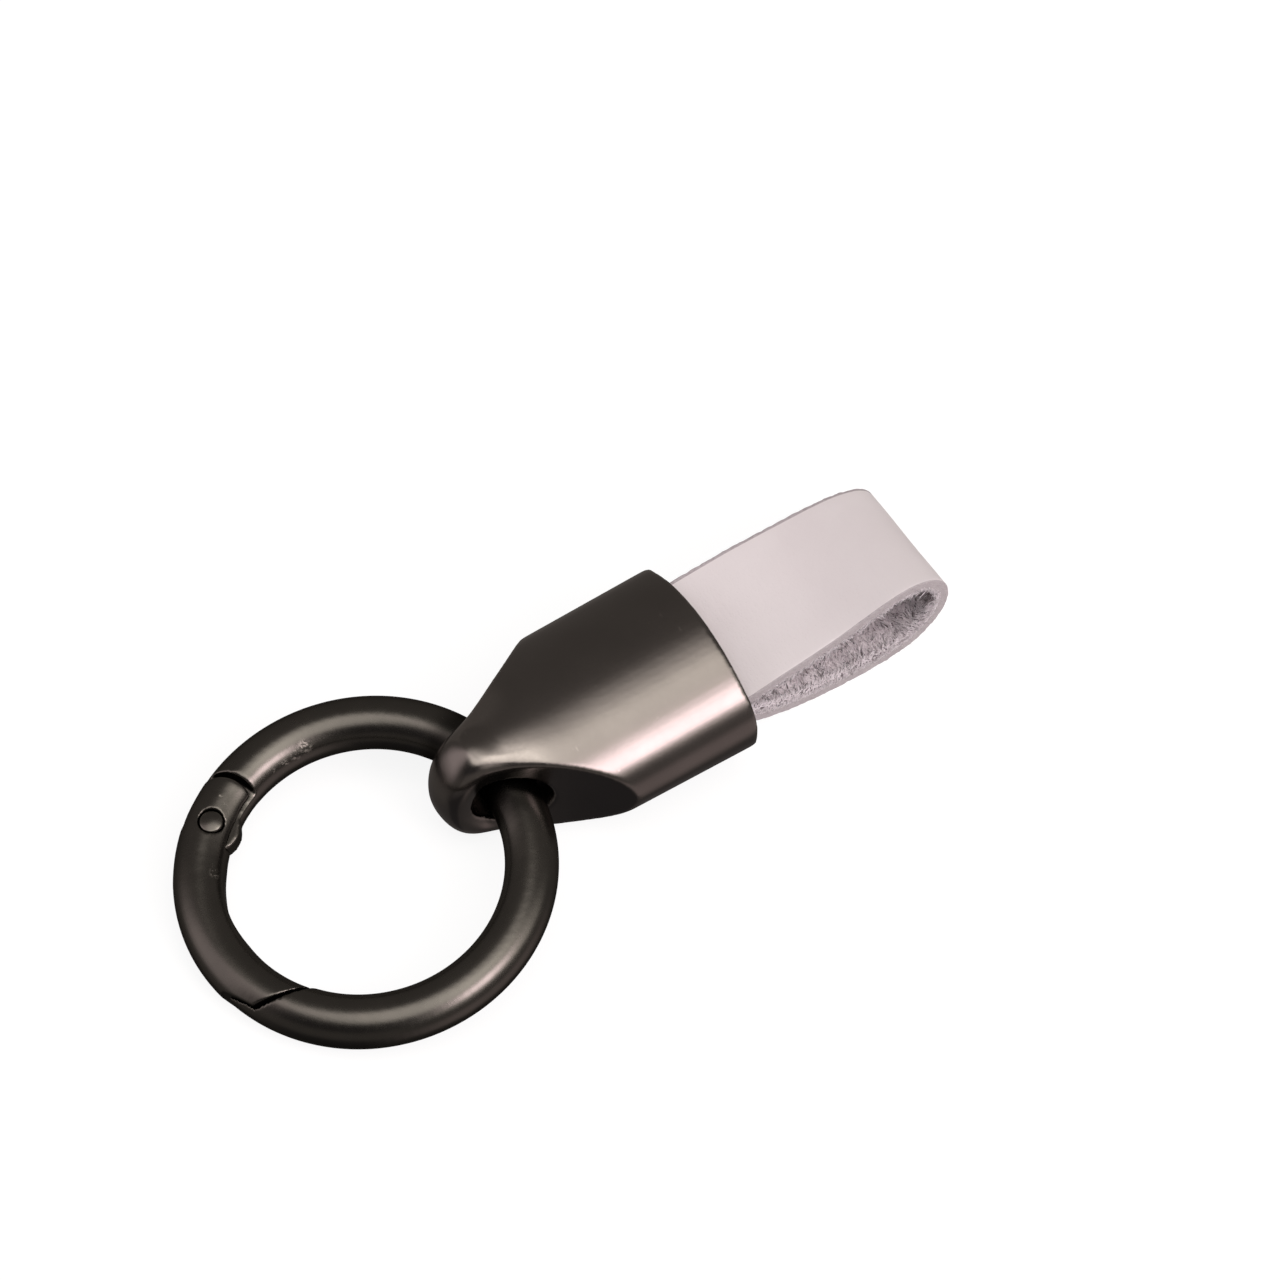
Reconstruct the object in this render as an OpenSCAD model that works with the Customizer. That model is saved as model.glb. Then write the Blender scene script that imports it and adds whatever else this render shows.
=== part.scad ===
// Keychain clip: a spring-gate ring, a die-cast end cap and a folded leather strap.
// Millimetres. +X runs along the cap from its tip to the strap, +Z is up, and the clip lies on z = 0.
// The origin is under the middle of the whole clip.

/* [Ring] */
// Outside diameter of the ring
ring_od = 34.6; // [33:0.1:37]
// Thickness of the ring's wire
wire_d = 4.88; // [4.6:0.02:5.1]
// Turn of the lying ring away from the cap's axis, in degrees
ring_yaw = 8; // [0:0.5:9]

/* [Gate] */
// Angle from the cap's hole to the hinge rivet, around the ring
hinge_angle = 122; // [115:1:130]
// How far the rivet sits inside the middle of the wire
rivet_inset = 0.28; // [0:0.02:0.4]
// Diameter of the hinge rivet
rivet_d = 2.3; // [2:0.05:2.6]
// Radius of the concave shoulder that faces the knuckle
shoulder_r = 5; // [4.7:0.05:5.4]
// Radius of the gate's round knuckle
knuckle_r = 4.6; // [4.4:0.05:4.65]
// Thickness of the tongue between the gate's cheeks
tongue_t = 1.9; // [1.6:0.05:2.1]
// Radius of the tongue's round eye
eye_r = 2.48; // [2.4:0.01:2.6]
// Distance from the rivet to the flat of the eye that the plunger rests on
flat_reach = 2.1; // [2:0.05:2.2]
// How far the gate's wire stands outside the ring's circle
gate_proud = 0.2; // [0:0.02:0.25]
// Depth of the shallow relief on the gate's inner side
relief_depth = 0.5; // [0.2:0.05:0.6]
// Radius of the relief's cutter
relief_r = 9; // [8:0.5:10]
// Turn around the ring from the rivet to the gate's free end
gate_sweep = 77.86; // [76.5:0.02:78.5]
// Turn from the rivet to the thin end of the body's nose
nose_sweep = 60.5; // [59:0.5:63]
// Turn from the rivet to the root of the body's nose
nose_root_sweep = 74.5; // [73:0.5:76]
// Thickness of the body's nose at its root
nose_t = 0.56; // [0.5:0.02:0.8]
// How much of the nose's thin end is cut off, in degrees
nose_blunt = 2; // [1:0.5:3]

/* [Spring and plunger] */
// Diameter of the bore in the gate
bore_d = 2; // [1.8:0.05:2.1]
// Depth of the bore from the rivet
bore_depth = 9.2; // [8.6:0.1:9.6]
// Slant of the bore towards the inside of the ring, in degrees
bore_slant = 14; // [12:0.5:16]
// Offset of the bore from the rivet towards the outside of the ring
bore_offset = 0.25; // [0:0.05:0.4]
// Length of the plunger
plunger_len = 1.8; // [1.4:0.1:2.2]
// Wire of the spring
spring_wire = 0.28; // [0.22:0.02:0.32]
// Number of turns of the spring
spring_turns = 6; // [4:1:6]

/* [End cap] */
// Length of the cap from mouth to tip
cap_len = 28.4; // [28:0.1:30]
// Width of the cap
cap_w = 19.7; // [19:0.1:21]
// Height of the cap at its mouth
cap_h = 14.2; // [13.4:0.1:15]
// End radius of the cap's oval section
oval_end_r = 5.6; // [5.2:0.1:6]
// How far the cap's upper and lower faces fall towards the tip, in degrees
cap_draft = 1.8; // [0.5:0.1:2.4]
// Radius of the hollow side facets
facet_r = 40; // [36:1:44]
// Half width of the tip between the facets
tip_half = 2.5; // [2.3:0.05:2.8]
// Radius of the ball that rounds the tip
tip_ball_r = 7.9; // [7.5:0.1:9]
// Rounding of the tip's corners seen from above
tip_round = 2; // [1.2:0.1:2.4]
// Diameter of the cross hole for the ring
hole_d = 7; // [6.7:0.1:7.4]
// Distance from the cross hole to the tip
hole_to_tip = 5.9; // [5.7:0.1:6.2]
// Depth of the oval recess in the mouth
recess_depth = 2.4; // [1.6:0.1:3]
// Wall around the recess
recess_wall = 1.5; // [1.2:0.1:2]

/* [Strap] */
// Width of the leather strap
strap_w = 14.2; // [12.5:0.1:14.8]
// Thickness of the leather
strap_t = 1.6; // [1.3:0.05:1.7]
// Length of each strap end inside the cap
strap_tail = 11; // [10:0.5:13]
// Reach of the loop past the mouth on its near edge
near_reach = 22.25; // [20:0.05:25]
// Rise of the loop's middle layer on its near edge
near_rise = 4.9; // [4:0.1:5.5]
// Reach of the loop past the mouth on its far edge
far_reach = 23.5; // [20:0.1:25]
// Fall of the loop's middle layer on its far edge
far_fall = 6; // [5:0.1:6.2]

/* [Strap screw] */
// Thread diameter of the strap screw
screw_d = 2; // [1.6:0.1:2.2]
// Diameter of the screw's countersunk head
screw_head_d = 3.8; // [3.2:0.1:4]
// Depth of the screw's head
screw_head_h = 1.1; // [0.9:0.1:1.3]
// Distance from the mouth to the screw
screw_x = 7.5; // [6.5:0.1:8.5]
// Height of the cap left over the screw's point
screw_cover = 4; // [3.8:0.1:4.6]

/* [Fits] */
// Clearance around the rivet in the gate
rivet_fit = 0.05; // [0.03:0.01:0.08]
// Gap on each side of the tongue and around its eye
tongue_fit = 0.06; // [0.04:0.01:0.1]
// Gap between the gate's free end and the body
scarf_fit = 0.35; // [0.3:0.01:0.4]
// Gap between the gate's flank and the body's nose that stops it
stop_fit = 0.08; // [0.05:0.01:0.12]
// Clearance of the plunger in its bore
plunger_fit = 0.05; // [0.03:0.01:0.08]
// Gap around the strap in its socket
socket_fit = 0.35; // [0.2:0.05:0.5]
// Clearance around the screw
screw_fit = 0.05; // [0.03:0.01:0.1]
// How far the wire lies under the axis of the cross hole
wire_drop = 0; // [-0.3:0.01:0.4]
// How far the wire lies behind the axis of the cross hole
wire_push = 0.24; // [0:0.01:0.4]

/* [Hidden] */
$fn = 96;

// How far a cut runs past the face it opens
over = 1;

// Ring: its wire, and the places of its hinge
wire_r = wire_d / 2;
ring_r = ring_od / 2 - wire_r;
hinge = (ring_r - rivet_inset) * [cos(hinge_angle), sin(hinge_angle), 0];
slot_w = tongue_t + 2 * tongue_fit;
slot_r = eye_r + tongue_fit;
// Height over which a flat outline of the ring is extruded
slab_h = wire_d + 2 * over;
// Rest gap between plunger and flat
plunger_gap = 0.06;
// Middle of the relief, and of the gate's standing proud
relief_sweep = 35;
relief_angle = hinge_angle + relief_sweep;
proud = gate_proud * [cos(relief_angle), sin(relief_angle), 0];
relief_at = (ring_r - wire_r + relief_depth - relief_r) * [cos(relief_angle), sin(relief_angle), 0];
// The rivet's ends lie just under the crown of the wire
rivet_sink = 0.1;
rivet_len = wire_d - 2 * rivet_sink;
// Round face of the gate's free end, and the ends of the body's nose
scarf_r = norm(ring_r * [cos(hinge_angle + gate_sweep), sin(hinge_angle + gate_sweep), 0] - hinge);
nose_angle = hinge_angle + nose_sweep;
nose_root_angle = hinge_angle + nose_root_sweep;
// Turn of wire past a cut end, before the cut
blank_turn = 30;

// Cap: its section, its outline and its side profile, from the mouth at x = 0 to the tip at -cap_len
hole_to_mouth = cap_len - hole_to_tip;
half_w = cap_w / 2;
half_h = cap_h / 2;
oval_end_y = half_w - oval_end_r;
oval_top_r = (pow(oval_end_y, 2) + pow(half_h, 2) - pow(oval_end_r, 2)) / (2 * (half_h - oval_end_r));
oval_join = oval_end_y * (1 + oval_end_r / (oval_top_r - oval_end_r));
// Middle of the hollow facet's circle: in front of the hole, so that the circle just crosses the cap's axis
facet_lead_share = 0.425;
facet_cross = 0.3;
facet_mid_x = -hole_to_mouth - facet_lead_share * facet_r;
facet_mid_y = facet_r - facet_cross;
ball_x = tip_ball_r - cap_len;
// Where the tip's rounded corners have their middle
corner_y = tip_half - tip_round;
corner_x = ball_x - sqrt(pow(tip_ball_r - tip_round, 2) - pow(corner_y, 2));
socket_w = strap_w + 2 * socket_fit;
tail_gap = 0.2;
socket_h = 2 * strap_t + tail_gap + 2 * socket_fit;
socket_depth = strap_tail + socket_fit;
// Screw: it starts just inside the underside and ends in the upper wall
screw_sink = 0.25;
screw_len = cap_h - screw_cover;

// The cap lies on its lower face, so it and the strap are turned by the draft
hole_z = half_h - hole_to_mouth * sin(cap_draft);
hole_x = -hole_to_mouth * cos(cap_draft);
// Lie of the ring: through the hole, with its far side on the ground
slope = asin((hole_z - wire_drop - wire_r) / (2 * ring_r + gate_proud));
wire_at = [hole_x + wire_push, 0, hole_z - wire_drop];
ring_dir = [-cos(ring_yaw) * cos(slope), -sin(ring_yaw) * cos(slope), -sin(slope)];
ring_mid = wire_at + ring_r * ring_dir;
lean_x = sin(slope) * cos(ring_yaw);
ring_left = ring_mid[0] - ring_r * sqrt(1 - pow(lean_x, 2)) - wire_r;
// Shift that brings the middle of the clip over the origin
home = [-(ring_left + far_reach) / 2, -ring_mid[1], 0];

// Strap: middle layer of the loop on its near and far edges, as shares of reach and of rise or fall
near_shares = [
  [0.045, 0.27], [0.17, 0.38], [0.31, 0.49], [0.46, 0.63], [0.61, 0.84], [0.73, 0.98], [0.83, 1],
  [0.91, 0.84], [0.96, 0.5], [0.965, 0.1], [0.93, -0.28], [0.85, -0.62], [0.73, -0.8],
  [0.58, -0.84], [0.42, -0.8], [0.27, -0.7], [0.12, -0.5], [0.03, -0.31]
];
far_shares = [
  [0.045, 0.22], [0.17, 0.26], [0.3, 0.29], [0.45, 0.29], [0.6, 0.28], [0.73, 0.25], [0.83, 0.17],
  [0.91, 0.01], [0.96, -0.25], [0.966, -0.55], [0.93, -0.81], [0.85, -0.96], [0.74, -1],
  [0.6, -0.96], [0.45, -0.86], [0.3, -0.7], [0.15, -0.48], [0.04, -0.27]
];
// Points drawn between two given points of the loop, and columns across the strap
loop_steps = 3;
strap_columns = 7;
tail_z = (strap_t + tail_gap) / 2;
// Where the tails of the strap start to part, before the mouth
part_x = 1.6;

// Spring: its seat behind the plunger, its bore's end and the radius of its turns
spring_start = flat_reach + plunger_gap + plunger_len + spring_wire / 2 + rivet_fit;
spring_end = bore_depth - spring_wire / 2 - rivet_fit;
spring_r = bore_d / 2 - plunger_fit - spring_wire / 2 - rivet_fit;
spring_rings = 8;
spring_sides = 6;

function lerp(a, b, t) = a + (b - a) * t;
// Smooth curve through the points p, from point i to the next
function through(p, i, t) =
  let (a = p[max(i - 1, 0)], b = p[i], c = p[i + 1], d = p[min(i + 2, len(p) - 1)])
  b + t / 2 * (c - a + t * (2 * a - 5 * b + 4 * c - d + t * (3 * (b - c) + d - a)));
function smooth(p, steps) = [
  for (i = [0:len(p) - 2]) for (s = [0:steps - 1]) through(p, i, s / steps),
  p[len(p) - 1]
];
function unit(v) = v / norm(v);
// Side step of a curve in the XZ plane, square to it at point i
function square_to(c, i) =
  let (d = unit(c[min(i + 1, len(c) - 1)] - c[max(i - 1, 0)]))
  [-d[1], d[0]];
// Whole middle layer on one edge: upper tail, loop, lower tail
function edge_line(shares, reach, rise) = concat(
  [[-strap_tail, tail_z], [-strap_tail / 2, tail_z], [-part_x, tail_z]],
  [for (s = shares) [s[0] * reach, s[1] * rise]],
  [[-part_x, -tail_z], [-strap_tail / 2, -tail_z], [-strap_tail, -tail_z]]
);

// The placed ring: everything made flat around the ring's middle goes through this
module lay_ring() {
  translate(home + ring_mid)
    rotate([0, -slope, ring_yaw])
      children();
}

// The cap's own frame: mouth at x = 0, middle of its height at z = 0
module lay_cap() {
  translate(home + [0, 0, half_h])
    rotate([0, -cap_draft, 0])
      children();
}

// The screw's own frame in the cap: origin on the cap's lower face, axis square to it
module lay_screw() {
  translate([-screw_x, 0, screw_x * tan(cap_draft) - half_h])
    rotate([0, cap_draft, 0])
      children();
}

// The bore's own frame in the ring: origin on the rivet, +X along the bore, +Y to the inside
module lay_bore() {
  translate(hinge)
    rotate([0, 0, hinge_angle + 90 + bore_slant])
      children();
}

// Stretch of round wire from one angle to another
module wire(from_angle, to_angle) {
  rotate_extrude(start = from_angle, angle = to_angle - from_angle)
    translate([ring_r, 0])
      circle(r = wire_r);
}

// Disc about the rivet, through the whole wire
module about_hinge(r) {
  translate(hinge)
    cylinder(r = r, h = slab_h, center = true);
}

// Space of the gate's free end, up to y = top: inside the round face, and inside the flank under the nose
module scarf_space(end_fit, flank_fit, top) {
  flank_from = (ring_od / 2 + flank_fit) * [cos(nose_angle), sin(nose_angle)];
  flank_to = (ring_od / 2 - nose_t + flank_fit) * [cos(nose_root_angle), sin(nose_root_angle)];
  flank_out = flank_to + ring_od / 2 * unit(flank_to - flank_from);
  intersection() {
    about_hinge(scarf_r + end_fit);
    linear_extrude(slab_h, center = true)
      polygon([flank_from, flank_out, [ring_od, -ring_od], [ring_od, top], [-ring_od, top],
        (ring_od / 2 + over) * [cos(nose_angle), sin(nose_angle)]]);
  }
}

module ring_body() {
  color("dimgray")
    lay_ring()
      difference() {
        union() {
          difference() {
            wire(nose_angle + nose_blunt, 360 + hinge_angle);
            about_hinge(shoulder_r);
            scarf_space(scarf_fit, stop_fit, 0);
          }
          intersection() {
            wire(hinge_angle - blank_turn, hinge_angle);
            cube([3 * ring_r, 3 * ring_r, tongue_t], center = true);
          }
          lay_bore()
            linear_extrude(tongue_t, center = true)
              eye_outline();
        }
        translate(hinge)
          cylinder(d = rivet_d, h = slab_h, center = true);
      }
}

// Flat outline of the tongue's eye, cut off by the flat that faces the plunger
module eye_outline() {
  intersection() {
    circle(r = eye_r);
    translate([-eye_r, -eye_r])
      square([eye_r + flat_reach, 2 * eye_r]);
  }
}

module gate() {
  color("dimgray")
    lay_ring()
      difference() {
        intersection() {
          union() {
            translate(proud)
              wire(hinge_angle, hinge_angle + gate_sweep + blank_turn);
            intersection() {
              translate(proud)
                wire(hinge_angle - blank_turn, hinge_angle);
              about_hinge(knuckle_r);
            }
          }
          scarf_space(0, 0, ring_od);
        }
        translate(hinge)
          cylinder(r = slot_r, h = slot_w, center = true);
        lay_bore()
          translate([-knuckle_r - over, -knuckle_r, -slot_w / 2])
            cube([knuckle_r + over, 2 * knuckle_r, slot_w]);
        translate(hinge)
          cylinder(r = rivet_d / 2 + rivet_fit, h = slab_h, center = true);
        translate(relief_at)
          cylinder(r = relief_r, h = slab_h, center = true);
        lay_bore()
          translate([flat_reach, -bore_offset, 0])
            rotate([0, 90, 0])
              cylinder(d = bore_d, h = bore_depth - flat_reach);
      }
}

module gate_pin() {
  color("gray")
    lay_ring()
      translate(hinge)
        cylinder(d = rivet_d, h = rivet_len, center = true);
}

module spring_plunger() {
  color("silver")
    lay_ring()
      lay_bore()
        translate([flat_reach + plunger_gap, -bore_offset, 0])
          rotate([0, 90, 0])
            cylinder(d = bore_d - 2 * plunger_fit, h = plunger_len);
}

// One unbroken round tube along a helix, with half a turn lying flat at each end
module gate_spring() {
  rings = spring_turns * spring_rings;
  pitch = (spring_end - spring_start) / spring_turns;
  mid = [for (i = [0:rings])
    [spring_start + pitch * i / spring_rings,
      -bore_offset + spring_r * cos(360 * i / spring_rings), spring_r * sin(360 * i / spring_rings)]];
  skin = [for (i = [0:rings]) for (k = [0:spring_sides - 1])
    let (
      out = [0, cos(360 * i / spring_rings), sin(360 * i / spring_rings)],
      along = unit([pitch, -2 * PI * spring_r * out[2], 2 * PI * spring_r * out[1]]),
      up = cross(along, out),
      a = 360 * k / spring_sides
    )
    mid[i] + spring_wire / 2 * (cos(a) * out + sin(a) * up)];
  sides = [for (i = [0:rings - 1]) for (k = [0:spring_sides - 1])
    let (a = i * spring_sides + k, b = i * spring_sides + (k + 1) % spring_sides)
    each [[a, a + spring_sides, b], [b, a + spring_sides, b + spring_sides]]];
  last = rings * spring_sides;
  echo(str("least gap between turns of the gate spring: ", pitch - spring_wire));
  color("silver")
    lay_ring()
      lay_bore()
        polyhedron(skin, concat(
          sides,
          [[for (k = [0:spring_sides - 1]) k]],
          [[for (k = [0:spring_sides - 1]) last + spring_sides - 1 - k]]
        ));
}

// Oval section of the cap in the YZ plane, from four arcs that run into each other
module oval(inset) {
  for (side = [-1, 1])
    translate([side * oval_end_y, 0])
      circle(r = oval_end_r - inset);
  intersection() {
    translate([0, half_h - oval_top_r])
      circle(r = oval_top_r - inset);
    translate([0, oval_top_r - half_h])
      circle(r = oval_top_r - inset);
    square([2 * oval_join * (oval_end_r - inset) / oval_end_r, cap_h], center = true);
  }
}

// The oval carried along the cap, leaning up or down by the draft
module oval_bar(lean) {
  rotate([0, lean, 0])
    translate([over, 0, 0])
      rotate([0, -90, 0])
        linear_extrude(cap_len + 3 * over)
          rotate(90)
            oval(0);
}

// Outline of the cap seen from above
module cap_plan() {
  difference() {
    translate([corner_x, -half_w])
      square([-corner_x, cap_w]);
    for (side = [-1, 1])
      translate([facet_mid_x, side * facet_mid_y])
        circle(r = facet_r);
  }
  translate([corner_x, -tip_half])
    square([-corner_x - hole_to_mouth, 2 * tip_half]);
  for (side = [-1, 1])
    translate([corner_x, side * corner_y])
      circle(r = tip_round);
  intersection() {
    translate([ball_x, 0])
      circle(r = tip_ball_r);
    translate([-cap_len, -corner_y])
      square([cap_len, 2 * corner_y]);
  }
}

// Ball that rounds the tip, with all of the cap behind it
module tip_ball() {
  translate([ball_x, 0, 0])
    sphere(r = tip_ball_r);
  translate([ball_x, -cap_w, -cap_w])
    cube([-ball_x, 2 * cap_w, 2 * cap_w]);
}

module end_cap() {
  color("#4a4441")
    lay_cap()
      difference() {
        intersection() {
          oval_bar(cap_draft);
          oval_bar(-cap_draft);
          linear_extrude(cap_h + 2 * over, center = true)
            cap_plan();
          tip_ball();
        }
        translate([-hole_to_mouth, 0, 0])
          rotate([90, 0, 0])
            cylinder(d = hole_d, h = cap_w, center = true);
        translate([over, 0, 0])
          rotate([0, -90, 0])
            linear_extrude(recess_depth + over)
              rotate(90)
                oval(recess_wall);
        translate([-socket_depth, -socket_w / 2, -socket_h / 2])
          cube([socket_depth + over, socket_w, socket_h]);
        lay_screw()
          screw_shape(screw_fit, screw_len + screw_sink + over);
      }
}

// Countersunk screw standing on its head, grown by the clearance
module screw_shape(fit, length) {
  translate([0, 0, -over])
    cylinder(d = screw_head_d + 2 * fit, h = over + screw_sink);
  translate([0, 0, screw_sink])
    cylinder(d1 = screw_head_d + 2 * fit, d2 = screw_d + 2 * fit, h = screw_head_h);
  cylinder(d = screw_d + 2 * fit, h = length);
}

module strap_screw() {
  slot_t = screw_d / 4;
  color("silver")
    lay_cap()
      lay_screw()
        translate([0, 0, screw_sink])
          difference() {
            union() {
              cylinder(d1 = screw_head_d, d2 = screw_d, h = screw_head_h);
              cylinder(d = screw_d, h = screw_len);
            }
            cube([slot_t, screw_head_d, screw_head_h], center = true);
          }
}

module leather_strap() {
  near = smooth(edge_line(near_shares, near_reach, near_rise), loop_steps);
  far = smooth(edge_line(far_shares, far_reach, far_fall), loop_steps);
  count = len(near);
  row = 2 * strap_columns;
  skin = [for (i = [0:count - 1]) for (k = [0:row - 1])
    let (
      outer = k < strap_columns,
      column = outer ? k : row - 1 - k,
      t = column / (strap_columns - 1),
      mid = lerp(near[i], far[i], t),
      side = unit(lerp(square_to(near, i), square_to(far, i), t)),
      p = mid + (outer ? 1 : -1) * strap_t / 2 * side
    )
    [p[0], strap_w * (t - 1 / 2), p[1]]];
  sides = [for (i = [0:count - 2]) for (k = [0:row - 1])
    let (a = i * row + k, b = i * row + (k + 1) % row)
    each [[a, b, a + row], [b, b + row, a + row]]];
  last = (count - 1) * row;
  ends = [for (k = [0:strap_columns - 2])
    let (a = k, b = k + 1, c = row - 2 - k, d = row - 1 - k)
    each [[a, d, b], [b, d, c], [last + a, last + b, last + d], [last + b, last + c, last + d]]];
  color("#d6cbcb")
    lay_cap()
      difference() {
        polyhedron(skin, concat(sides, ends));
        lay_screw()
          cylinder(r = screw_d / 2 + screw_fit, h = cap_h);
      }
}

ring_body();
gate();
gate_pin();
gate_spring();
spring_plunger();
end_cap();
leather_strap();
strap_screw();
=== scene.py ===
"""Keychain clip: the looks of its ring, cap and leather loop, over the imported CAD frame."""

from math import cos, pi, radians, sin

import bpy
import numpy as np
from mathutils import Matrix, Vector, noise


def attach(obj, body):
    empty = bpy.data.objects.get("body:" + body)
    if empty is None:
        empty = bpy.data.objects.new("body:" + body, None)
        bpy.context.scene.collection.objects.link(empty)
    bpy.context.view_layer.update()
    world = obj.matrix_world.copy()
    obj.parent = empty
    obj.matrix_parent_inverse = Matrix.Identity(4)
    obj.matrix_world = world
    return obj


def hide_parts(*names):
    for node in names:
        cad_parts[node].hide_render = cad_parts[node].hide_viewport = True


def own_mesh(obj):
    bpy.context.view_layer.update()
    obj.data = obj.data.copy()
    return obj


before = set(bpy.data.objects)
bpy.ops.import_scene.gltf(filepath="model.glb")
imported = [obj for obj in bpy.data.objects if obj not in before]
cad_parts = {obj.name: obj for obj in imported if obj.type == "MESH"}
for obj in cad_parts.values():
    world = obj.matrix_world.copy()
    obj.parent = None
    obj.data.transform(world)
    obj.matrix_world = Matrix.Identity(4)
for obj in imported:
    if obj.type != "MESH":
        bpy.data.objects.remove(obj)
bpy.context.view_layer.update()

# Sizes are in millimetres, as in the part's source.
# A piece is modelled in millimetres and brought to metres last.
MM = 0.001

# Corners of a circle in the turned pieces
round_corners = 64
# Size of the small faces of the metal skins
cap_skin = 0.17
ring_skin = 0.135
gate_skin = 0.09

# Ring: its lie, the rivet, and the gate's bore with spring and plunger
ring_mid = (-21.5815, 0, 4.42984)
ring_yaw = 8
ring_slope = 7.59256
hinge_r = 14.58
hinge_angle = 122
rivet_r = 1.09
rivet_reach = 2.36
rivet_at = (hinge_r * cos(radians(hinge_angle)), hinge_r * sin(radians(hinge_angle)), 0)
bore_slant = 14
bore_offset = 0.25
spring_span = (4.15, 9.01)
spring_r = 0.76
spring_wire = 0.28
spring_turns = 6
plunger_span = (2.16, 3.96)
plunger_r = 0.95

# Cap: the middle of its mouth, its draft, and where its hole and screw are
mouth = (15.2538, 2.04998, 7.1)
cap_draft = 1.8
cap_h = 14.2
hole_x = -22.5
hole_r = 3.5
screw_x = 7.5
screw_sink = 0.25
screw_len = 10.2
screw_r = 1
screw_head_r = 1.9
screw_head_h = 1.1
slot_w = 0.5
slot_deep = 1.1
# Rounding of the cap: passes, where they set in and where they are full, both behind its mouth
cap_rounding = [(16, 11.5, 14), (120, 18.5, 25), (220, 21.8, 25.6)]
cap_tip = (22, 25.8)

# Strap: width, thickness, tails in the socket, and its middle layer on both edges as shares of reach and of
# rise or fall
strap_w = 14.2
strap_t = 1.6
strap_tail = 11
part_x = 1.6
tail_z = 0.9
near_reach = 22.25
near_rise = 4.9
far_reach = 23.5
far_fall = 6
near_shares = [
    (0.045, 0.27), (0.17, 0.38), (0.31, 0.49), (0.46, 0.63), (0.61, 0.84), (0.73, 0.98), (0.83, 1),
    (0.91, 0.84), (0.96, 0.5), (0.965, 0.1), (0.93, -0.28), (0.85, -0.62), (0.73, -0.8),
    (0.58, -0.84), (0.42, -0.8), (0.27, -0.7), (0.12, -0.5), (0.03, -0.31),
]
far_shares = [
    (0.045, 0.22), (0.17, 0.26), (0.3, 0.29), (0.45, 0.29), (0.6, 0.28), (0.73, 0.25), (0.83, 0.17),
    (0.91, 0.01), (0.96, -0.25), (0.966, -0.55), (0.93, -0.81), (0.85, -0.96), (0.74, -1),
    (0.6, -0.96), (0.45, -0.86), (0.3, -0.7), (0.15, -0.48), (0.04, -0.27),
]
# Zones round the strap's section; each is also the number of its material
GRAIN, CUT, FLESH = 0, 1, 2

# Table: this far under the part, because the cap's skin dips a little below its CAD solid
floor_drop = 0.1

ring_place = (
    Matrix.Translation(ring_mid)
    @ Matrix.Rotation(radians(ring_yaw), 4, "Z")
    @ Matrix.Rotation(radians(-ring_slope), 4, "Y")
)
# The gate's bore runs along its own Z
bore_axis = (
    ring_place
    @ Matrix.Translation(rivet_at)
    @ Matrix.Rotation(radians(hinge_angle + 90 + bore_slant), 4, "Z")
    @ Matrix.Translation((0, -bore_offset, 0))
    @ Matrix.Rotation(radians(90), 4, "Y")
)
cap_place = Matrix.Translation(mouth) @ Matrix.Rotation(radians(-cap_draft), 4, "Y")

# Camera
camera_from = Vector((-175.59, -261.81, 520.43)) * MM
camera_right = Vector((0.84298, -0.5373, 0.02649))
camera_back = Vector((-0.30734, -0.4407, 0.84336))
camera_lens = 187.65


def make_camera():
    """The camera at the photograph's place; it rolls a little, so its axes are given."""
    data = bpy.data.cameras.new("camera")
    data.lens = camera_lens
    data.clip_start, data.clip_end = 0.01, 20
    camera = bpy.data.objects.new("camera", data)
    bpy.context.scene.collection.objects.link(camera)
    back = camera_back.normalized()
    up = back.cross(camera_right).normalized()
    right = up.cross(back)
    camera.matrix_world = Matrix.Translation(camera_from) @ Matrix((right, up, back)).transposed().to_4x4()
    bpy.context.scene.camera = camera


# Shaders written as sums
class Value:
    """One socket of a node tree. Sums on values add the nodes that work them out."""

    def __init__(self, nodes, socket):
        self.nodes, self.socket = nodes, socket

    def work(self, kind, *others, output=0):
        """One sum with this value and the others: on numbers, or on vectors and colours."""
        node = "ShaderNodeMath" if self.socket.type == "VALUE" else "ShaderNodeVectorMath"
        return self.nodes.add(node, {"operation": kind}, dict(enumerate((self, *others))), output)

    def __add__(self, other):
        return self.work("ADD", other)

    __radd__ = __add__

    def __mul__(self, other):
        return self.work("MULTIPLY", other)

    __rmul__ = __mul__

    def __sub__(self, other):
        return self.work("SUBTRACT", other)

    def __rsub__(self, other):
        return self * -1 + other

    def largest(self, other):
        return self.work("MAXIMUM", other)

    def size(self):
        return self.work("ABSOLUTE")

    def reach(self):
        return self.work("LENGTH", output=1)

    def dot(self, direction):
        return self.work("DOT_PRODUCT", direction, output=1)

    def part(self, axis):
        return self.nodes.add("ShaderNodeSeparateXYZ", {}, {0: self}, "XYZ".index(axis))

    def step(self, low, high):
        """0 below low, 1 above high, and a smooth rise between; low may be above high."""
        return self.nodes.add(
            "ShaderNodeMapRange", {"interpolation_type": "SMOOTHSTEP"}, {"Value": self, 1: low, 2: high}
        )


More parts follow.
